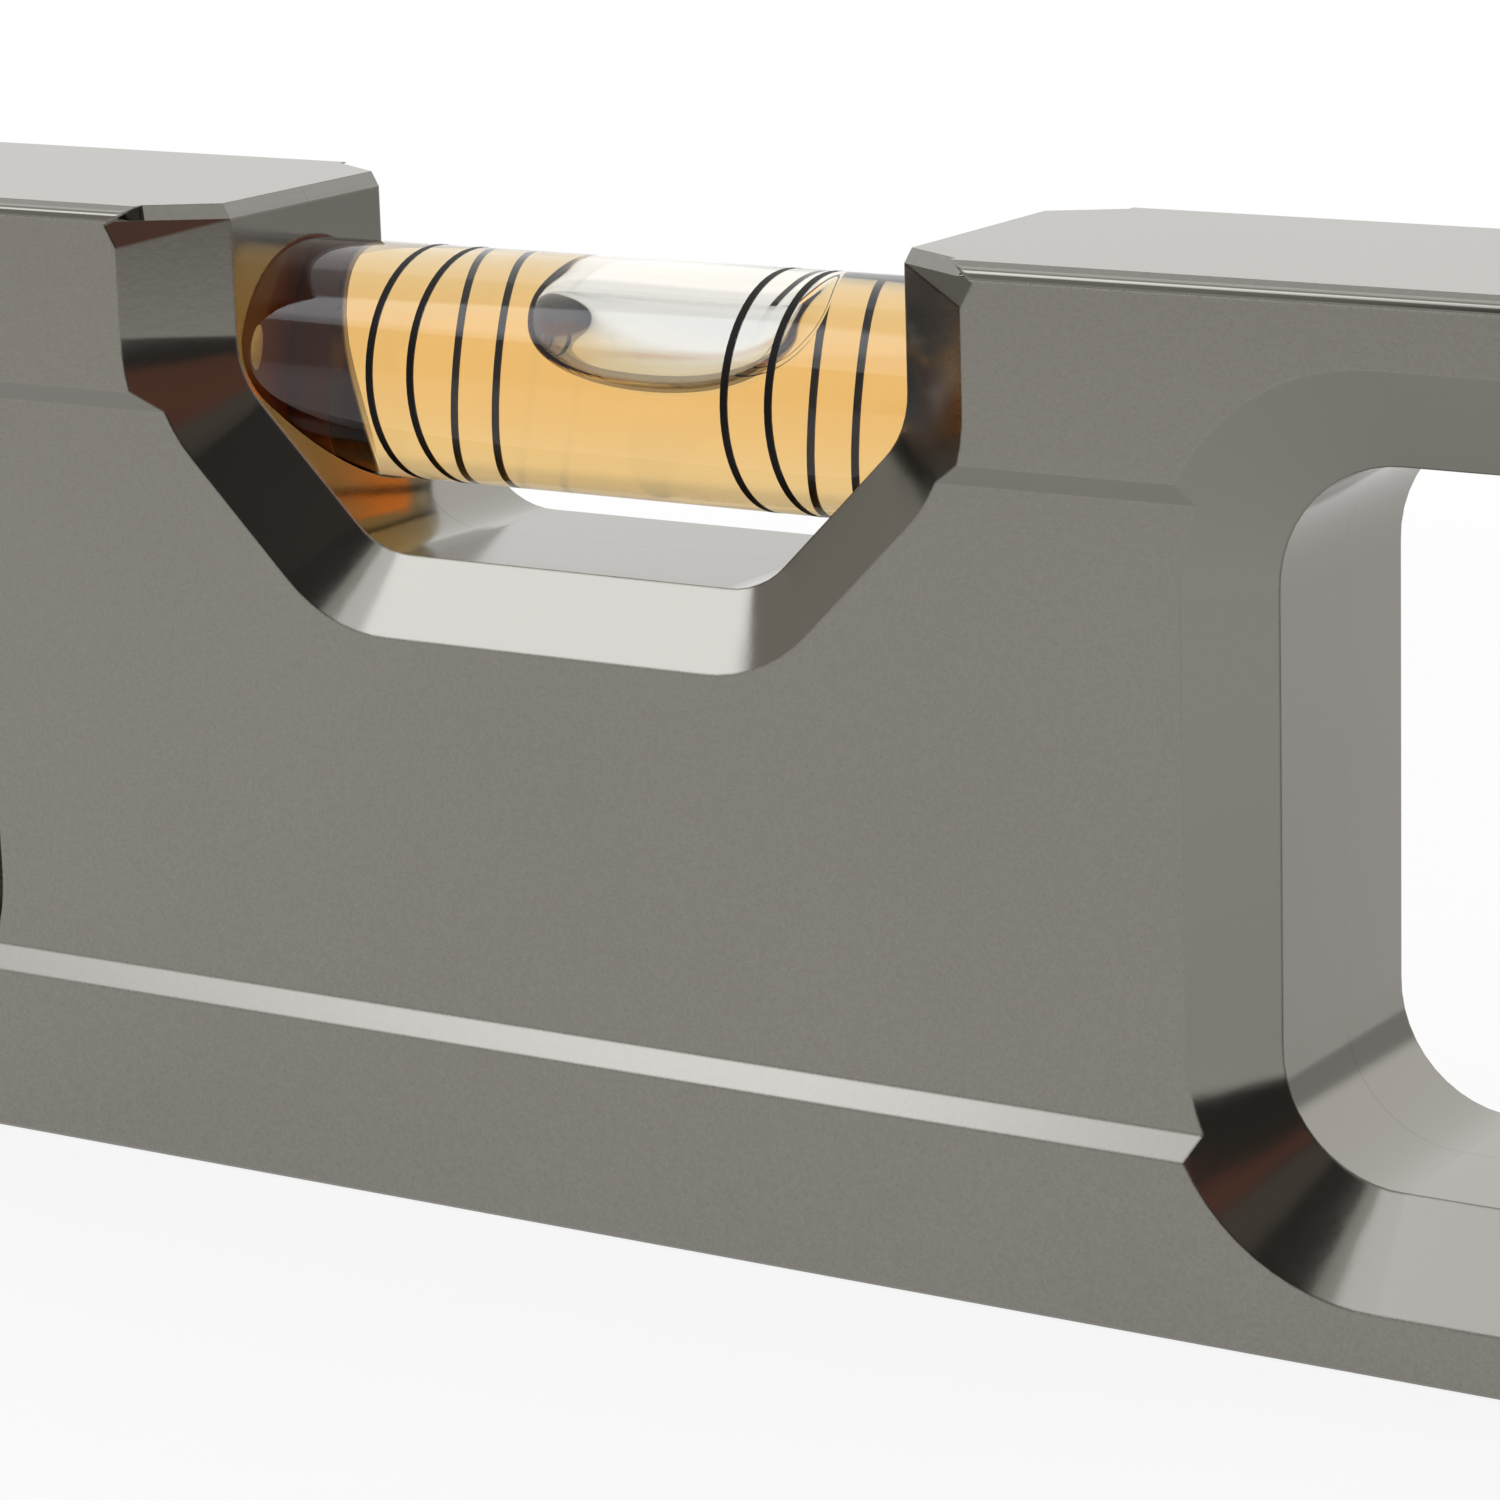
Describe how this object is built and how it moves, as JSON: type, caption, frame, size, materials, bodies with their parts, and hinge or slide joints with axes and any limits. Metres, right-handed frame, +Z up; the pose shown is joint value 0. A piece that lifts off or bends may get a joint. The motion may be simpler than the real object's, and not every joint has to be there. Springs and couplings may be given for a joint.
{
  "type": "magnetic spirit level",
  "caption": "Small flat bar level with a tubular vial across a notch in its top, a bevelled window on each side and magnets in its flat foot.",
  "frame": {"origin": "centre of the foot, on the surface that the level stands on", "axes": "+X along the bar, +Y from its front face to its rear face, +Z up, through the vial's middle"},
  "size_m": [0.1, 0.0126, 0.033],
  "materials": {
    "bar_finish": "satin anodised faces, bright bevels and inner walls",
    "clear_acrylic": "clear, polished",
    "plug_plastic": "plain moulded",
    "pin_steel": "plain turned",
    "amber_liquid": "clear amber liquid",
    "bubble_air": "clear air",
    "ring_black": "black",
    "setting_compound": "dark, cast in place",
    "cup_steel": "zinc-plated",
    "magnet_nickel": "nickel-plated"
  },
  "bodies": {
    "level": {"body": "bar_finish", "vial_barrel": "clear_acrylic", "vial_plug": "plug_plastic", "vial_fill_pin": "pin_steel", "vial_liquid": "amber_liquid", "ring_left_outer": "ring_black", "ring_left_inner": "ring_black", "ring_right_inner": "ring_black", "ring_right_outer": "ring_black", "setting_left": "setting_compound", "setting_right": "setting_compound", "magnet_cup_1": "cup_steel", "magnet_cup_2": "cup_steel", "magnet_cup_3": "cup_steel", "magnet_cup_4": "cup_steel", "magnet_1": "magnet_nickel", "magnet_2": "magnet_nickel", "magnet_3": "magnet_nickel", "magnet_4": "magnet_nickel"},
    "bubble": {"bubble": "bubble_air"}
  },
  "joints": [
    {"name": "bubble_travel", "type": "slide", "parent": "level", "child": "bubble", "axis": [1, 0, 0], "range_m": [-0.0108, 0.006]}
  ]
}
